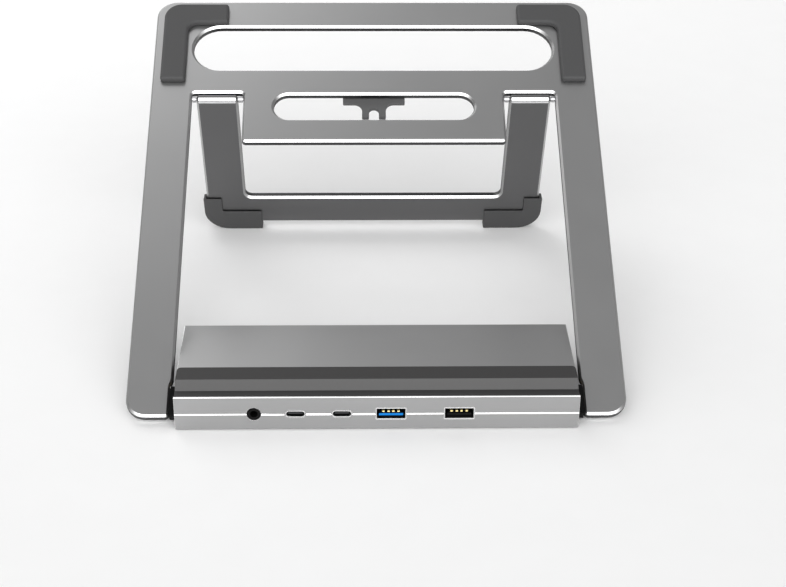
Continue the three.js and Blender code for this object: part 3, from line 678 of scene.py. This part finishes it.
# the top of the back takes painted shade and the slope takes painted light
for face in rest.data.polygons:
    if face.normal.z > 0.9 and face.center.z > rest_high.z - 0.5 * mm:
        face.material_index = 1
    elif 0.3 < face.normal.z < 0.95 and face.normal.y < -0.3:
        face.material_index = 2
break_edges(rest, 0.2 * mm, segments=2, angle=30)
hand_over(rest, [rest_rubber_painted_shade], "dock", "grey_rubber", "lip_strip")

# %% [markdown]
# ## Soles, jack barrel and network jack
# These small parts have the right shape already. Each gets rounded edges, which catch the light and
# show that it is a solid thing.

# %% Small parts with rounded edges
small_parts = [
    ("sole_front", "front_foot_strip", pad_rubber, "grey_rubber", 0.15),
    ("sole_rear", "rear_foot_strip", pad_rubber, "grey_rubber", 0.15),
    ("jack_barrel", "audio_jack", black_plastic, "black_plastic", 0.12),
    ("network_jack", "lan_socket", black_plastic, "black_plastic", 0.15),
]
for name, node, finish, slot, width in small_parts:
    part = traced(name, node)
    break_edges(part, width * mm, segments=2, angle=40)
    hand_over(part, [finish], "dock", slot, node)

# %% [markdown]
# ## Hinge spacers
# Between each end of the dock and the tray's arm runs a black plastic spacer that hides the hinge. It
# is a block that fills the gap, with the pin's hole bored through and all its edges rounded.

# %% Hinge spacers
inner, outer = 93.80 * mm, 96.98 * mm  # from the middle of the stand
bore_radius, bore_from, bore_to = 1.4 * mm, 90 * mm, 100 * mm

for side, name in ((-1, "left"), (1, "right")):
    node = f"{name}_hinge_spacer"
    part = frame["nodes"][node]
    flat = [on_tray.inverted() @ corner.co for corner in part.data.vertices]
    y0, y1 = min(p.y for p in flat), max(p.y for p in flat)
    z0, z1 = min(p.z for p in flat), max(p.z for p in flat)
    spacer = block(f"spacer_{name}", (min(side * inner, side * outer), y0, z0),
                   (max(side * inner, side * outer), y1, z1))
    bore = rod(f"bore_{name}", bore_radius, (side * bore_from, 0, 0), (side * bore_to, 0, 0))
    cutter = spacer.modifiers.new("bore", "BOOLEAN")
    cutter.operation, cutter.object, cutter.solver = "DIFFERENCE", bore, "EXACT"
    work_on(spacer)
    bpy.ops.object.modifier_apply(modifier=cutter.name)
    bpy.data.objects.remove(bore)
    break_edges(spacer, 0.35 * mm, segments=3, angle=40)
    hand_over(spacer, [black_plastic], "tray", "black_plastic", node, place=on_tray)

# %% [markdown]
# ## Sockets
# A socket is a pressed steel shell whose mouth is flared and polished, so that the plug finds its way
# in. The shell is a copy of its frame part. The flare is made by stretching its outer front corners
# away from the middle, which also closes the gap to the housing, and the inside faces are painted near
# black as painted shade.

# %% Flared shells
slim_flare, wide_flare = 0.12 * mm, 0.22 * mm
mouth_depth, flare_depth, rim_depth = 0.50 * mm, 0.45 * mm, 0.10 * mm


def flared_shell(name, node, rear=False):
    shell = traced(name, node)
    low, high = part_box(node)
    middle = (low + high) / 2
    mouth = high.y if rear else low.y
    for finish in (nickel, polished_rim, socket_inside_painted_shade):
        shell.data.materials.append(finish)
    half = (high - low) / 2
    flare = slim_flare if "usb_c" in name else wide_flare
    with editing(shell, "FACE"):
        bpy.ops.mesh.select_all(action="SELECT")
        cut_at = mouth + (-1 if rear else 1) * mouth_depth
        bpy.ops.mesh.bisect(plane_co=(0, cut_at, 0), plane_no=(0, 1, 0))
    shape = shell.data
    for corner in shape.vertices:
        offset = corner.co - middle
        outside = max(abs(offset.x) / half.x, abs(offset.z) / half.z) > 0.97 or (
            abs(offset.x) > half.x - half.z and math.hypot(
                abs(offset.x) - (half.x - half.z), offset.z) > half.z * 0.96)
        if abs(corner.co.y - mouth) < flare_depth and outside:
            corner.co.x += math.copysign(flare, offset.x) if abs(offset.x) > half.x - half.z else 0
            corner.co.z += flare * max(-1, min(1, offset.z / (0.6 * half.z)))
    # faces that look inward take the near-black finish as painted shade
    for face in shape.polygons:
        inward = (middle - face.center)
        inward.y = 0
        if abs(face.normal.y) > 0.8:
            face.material_index = 1 if abs(face.center.y - mouth) < rim_depth else 0
        elif face.normal.dot(inward) > 0:
            face.material_index = 2
    break_edges(shell, 0.06 * mm, segments=2, angle=40)
    return hand_over(shell, [nickel], "dock", "socket_steel", node)


for name, node, rear in (
        ("shell_usb_c_1", "front_usb_c_1_shell", False), ("shell_usb_c_2", "front_usb_c_2_shell", False),
        ("shell_usb_a_fast", "fast_usb_a_shell", False), ("shell_usb_a_plain", "plain_usb_a_shell", False),
        ("shell_usb_c_host", "host_usb_c_shell", True), ("shell_usb_c_power", "power_usb_c_shell", True),
        ("shell_hdmi", "hdmi_shell", True)):
    flared_shell(name, node, rear)

# %% [markdown]
# Inside a USB-A socket is a plastic tongue: blue for the fast one, black for the plain one. It starts
# as a block, and its rear end is drawn out into the plug that closes the shell. Its upper side and the
# plug take black plastic, which on the upper side is painted shade, because little light reaches it there.

# %% USB-A tongues
tongue_bottom, tongue_top, tongue_half = 7.65 * mm, 8.92 * mm, 5.6 * mm
plug_growth, plug_middle, plug_length = (1.08, 1, 3.4), 9.06 * mm, 1.1 * mm
plug_room = 1.2 * mm  # between the end of the block and the back of the shell


def usb_a_tongue(name, node, plastic, slot):
    low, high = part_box(node)
    x = (low.x + high.x) / 2
    back = high.y - plug_room
    tongue = block(name, (x - tongue_half, low.y, tongue_bottom), (x + tongue_half, back, tongue_top))
    with editing(tongue):
        pick_faces(tongue, lambda at, normal: normal.y > 0.9)
        bpy.ops.mesh.extrude_region_move(TRANSFORM_OT_translate={"value": (0, 0.02 * mm, 0)})
        bpy.ops.transform.resize(value=plug_growth, center_override=(x, back, plug_middle))
        bpy.ops.mesh.extrude_region_move(TRANSFORM_OT_translate={"value": (0, plug_length, 0)})
    tongue.data.materials.append(plastic)
    tongue.data.materials.append(black_plastic)
    # the upper side takes black plastic as painted shade
    for face in tongue.data.polygons:
        if face.normal.z > 0.5 or face.center.y > back - mm:
            face.material_index = 1
    break_edges(tongue, 0.12 * mm, segments=2, angle=40)
    return hand_over(tongue, [plastic], "dock", slot, node)


usb_a_tongue("tongue_fast", "fast_usb_a_tongue", blue_plastic, "blue_plastic")
usb_a_tongue("tongue_plain", "plain_usb_a_tongue", black_plastic, "black_plastic")

# %% [markdown]
# On the tongue lie four sprung gold contacts, and each bulges up near its front, where it presses on
# the plug. One contact is a thin strip, subdivided along its length, with the corners of the bulge
# lifted. It is modelled once and copied, and the four copies are joined.

# %% Gold contacts
contact_half, contact_start, contact_end, contact_thick = 0.55 * mm, 1 * mm, 7 * mm, 0.12 * mm
bulge_at, bulge_half, bulge_lift = 2.2 * mm, 0.8 * mm, 0.60 * mm
contact_places = [x * mm for x in (-3.5, -1.1, 1.1, 3.5)]


def contacts(name, node):
    low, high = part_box(node)
    x, front = (low.x + high.x) / 2, low.y
    first = block(name, (x - contact_half, front + contact_start, tongue_top),
                  (x + contact_half, front + contact_end, tongue_top + contact_thick))
    with editing(first, "EDGE"):
        pick_edges(first, lambda at, way: abs(way.y) > 0.9)
        bpy.ops.mesh.subdivide(number_cuts=9)
    with editing(first, "VERT"):
        shape = bmesh.from_edit_mesh(first.data)
        for corner in shape.verts:
            corner.select_set(corner.co.z > tongue_top + contact_thick / 2 and (
                abs(corner.co.y - front - bulge_at) < bulge_half))
        bpy.ops.transform.translate(value=(0, 0, bulge_lift))
    break_edges(first, 0.06 * mm, segments=2, angle=20)
    strips = []
    for across in contact_places:
        strip = bpy.data.objects.new(f"{name}_{len(strips)}", first.data.copy())
        bpy.context.scene.collection.objects.link(strip)
        strip.data.transform(Matrix.Translation((across, 0, 0)))
        strips.append(strip)
    bpy.data.objects.remove(first)
    clear_selection()
    for strip in strips:
        strip.select_set(True)
    bpy.context.view_layer.objects.active = strips[0]
    bpy.ops.object.join()
    strips[0].name = name
    return hand_over(strips[0], [gold], "dock", "bush_brass")


contacts("contacts_fast", "fast_usb_a_tongue")
contacts("contacts_plain", "plain_usb_a_tongue")

# %% [markdown]
# ## Frame parts that stay
# Everything else has its right shape in the frame and only needs its finish: the sockets' tongues, the
# end caps, the hinge hardware, the pins and washers, the screws, and the board with its parts.

# %% Finishes for the frame parts
kept_parts = {
    black_plastic: [
        "host_usb_c_tongue", "power_usb_c_tongue", "hdmi_tongue", "left_end_cap", "right_end_cap"],
    chip_plastic: [
        "front_usb_c_1_tongue", "front_usb_c_2_tongue", "hub_chip", "display_chip",
        "network_transformer"],
    board_green: ["main_board"],
    nickel: ["shield_can"],
    brass: ["left_hinge_bush", "right_hinge_bush"],
    steel: [
        *(f"{side}_{part}" for side in ("left", "right") for part in (
            "hinge_bracket", "spring_washer", "hinge_nut", "hinge_pin", "leg_pin",
            "inner_washer", "outer_washer")),
        *(f"dock_screw_{i}" for i in (1, 2, 3, 4)), "clip_screw_left", "clip_screw_right"],
}
for finish, nodes in kept_parts.items():
    for node in nodes:
        part = frame["nodes"][node]
        part.data.materials.clear()
        part.data.materials.append(finish)
print("frame parts with a finish:", sum(len(nodes) for nodes in kept_parts.values()))

# %% [markdown]
# ## The studio
# The floor is a plain pale sheet of paper, so large that its edge is far away.

# %% Floor
clear_selection()
bpy.ops.mesh.primitive_plane_add(size=30, location=(0, 0, 0))
floor = settled("floor")


def floor_paper():
    finish = Finish("floor paper")
    fibre = finish.noise(40, detail=2)
    colour = finish.blend(fibre, (0.90, 0.90, 0.90), (0.92, 0.92, 0.92))
    return finish.surface(colour, 0.85 + 0.02 * fibre, finish.relief(fibre, 0.01 * mm, 0.2), Metallic=0.0)


floor.data.materials.append(floor_paper())

# %% [markdown]
# The camera stands in front of the dock and looks down on it through a long lens, as for a catalogue. Its
# three axes are worked out from the pitch, yaw and roll, and make the rotation of its matrix.

# %% Camera
pitch, yaw, roll = (math.radians(a) for a in (29.7137, 1.4130, 0.5048))
ahead = Vector((math.sin(yaw) * math.cos(pitch), math.cos(yaw) * math.cos(pitch), -math.sin(pitch)))
level = Vector((math.cos(yaw), -math.sin(yaw), 0))
upward = level.cross(ahead)
right = math.cos(roll) * level + math.sin(roll) * upward
up = math.cos(roll) * upward - math.sin(roll) * level
lens = bpy.data.cameras.new("camera")
lens.sensor_fit = "HORIZONTAL"
lens.sensor_width = 36
lens.lens = 73.32
lens.clip_start, lens.clip_end = 0.01, 20
camera = bpy.data.objects.new("camera", lens)
camera.matrix_world = Matrix.Translation((-0.008375, -0.730476, 0.424077)) @ Matrix(
    (right, up, -ahead)).transposed().to_4x4()
bpy.context.scene.collection.objects.link(camera)
bpy.context.scene.camera = camera
print("camera at", [round(x, 3) for x in camera.location])

# %% [markdown]
# The room is a world whose brightness depends on the direction. It is bright low down in front, where
# the dock's front looks, and glows dimly at the back and overhead, which the sloping tray reflects.

# %% Light from the room


class Room(Finish):
    """The light of the world around the object, built up from nodes like a finish."""

    def __init__(self, name):
        self.world = bpy.data.worlds.new(name)
        self.world.use_nodes = True
        self.tree = self.world.node_tree
        self.tree.nodes.clear()
        self.place = self.make("ShaderNodeTexCoord", output="Generated")

    def fade(self, axis, start, end):
        """Rises softly from 0 to 1 along one axis of the direction."""
        along = self.make("ShaderNodeSeparateXYZ", None, {0: self.place}, output=axis)
        return self.make("ShaderNodeMapRange", {"interpolation_type": "SMOOTHSTEP"}, {
            "Value": along, "From Min": start, "From Max": end})


room = Room("studio")
strength = (0.25 + 3.23 * room.fade("Y", -0.2, -0.8) + 0.30 * room.fade("Y", 0.0, 0.3)
            + 0.20 * room.fade("Z", 0.6, 1.0))
glow = room.make("ShaderNodeBackground", None, {"Strength": strength})
room.make("ShaderNodeOutputWorld", None, {"Surface": glow})
bpy.context.scene.world = room.world
print("the room's light has", len(room.tree.nodes), "nodes")

# %% [markdown]
# Four soft boxes hang behind and above, all to the left, where the dock's top and the rear of the tray
# reflect them. So the satin metal fades from light grey on the left to dark on the right.

# %% Soft boxes


def soft_box(name, at, toward, size, power):
    """A flat rectangular lamp that is turned toward a point."""
    lamp = bpy.data.lights.new(name, "AREA")
    lamp.shape = "RECTANGLE"
    lamp.size, lamp.size_y = size
    lamp.energy = power
    obj = bpy.data.objects.new(name, lamp)
    obj.location = at
    obj.rotation_euler = (Vector(toward) - Vector(at)).to_track_quat("-Z", "Y").to_euler()
    bpy.context.scene.collection.objects.link(obj)
    return obj


soft_box("box_rear", (-1.1, 1.1, 1.1), (0, 0.1, 0.05), (1.2, 1.2), 5.5)
soft_box("box_rear_left", (-0.75, 1.30, 0.80), (0, 0, 0.02), (0.7, 0.6), 1.35)
soft_box("box_rear_middle", (-0.45, 1.40, 0.95), (0, 0, 0.02), (0.6, 0.6), 1.05)
soft_box("box_above", (-0.35, 0.60, 1.40), (0, 0.1, 0.1), (0.5, 0.5), 1.6)
bpy.context.scene.view_settings.view_transform = "Standard"

# %% [markdown]
# ## The end
# Last, the view layer is brought up to date.

# %% Finish
bpy.context.view_layer.update()
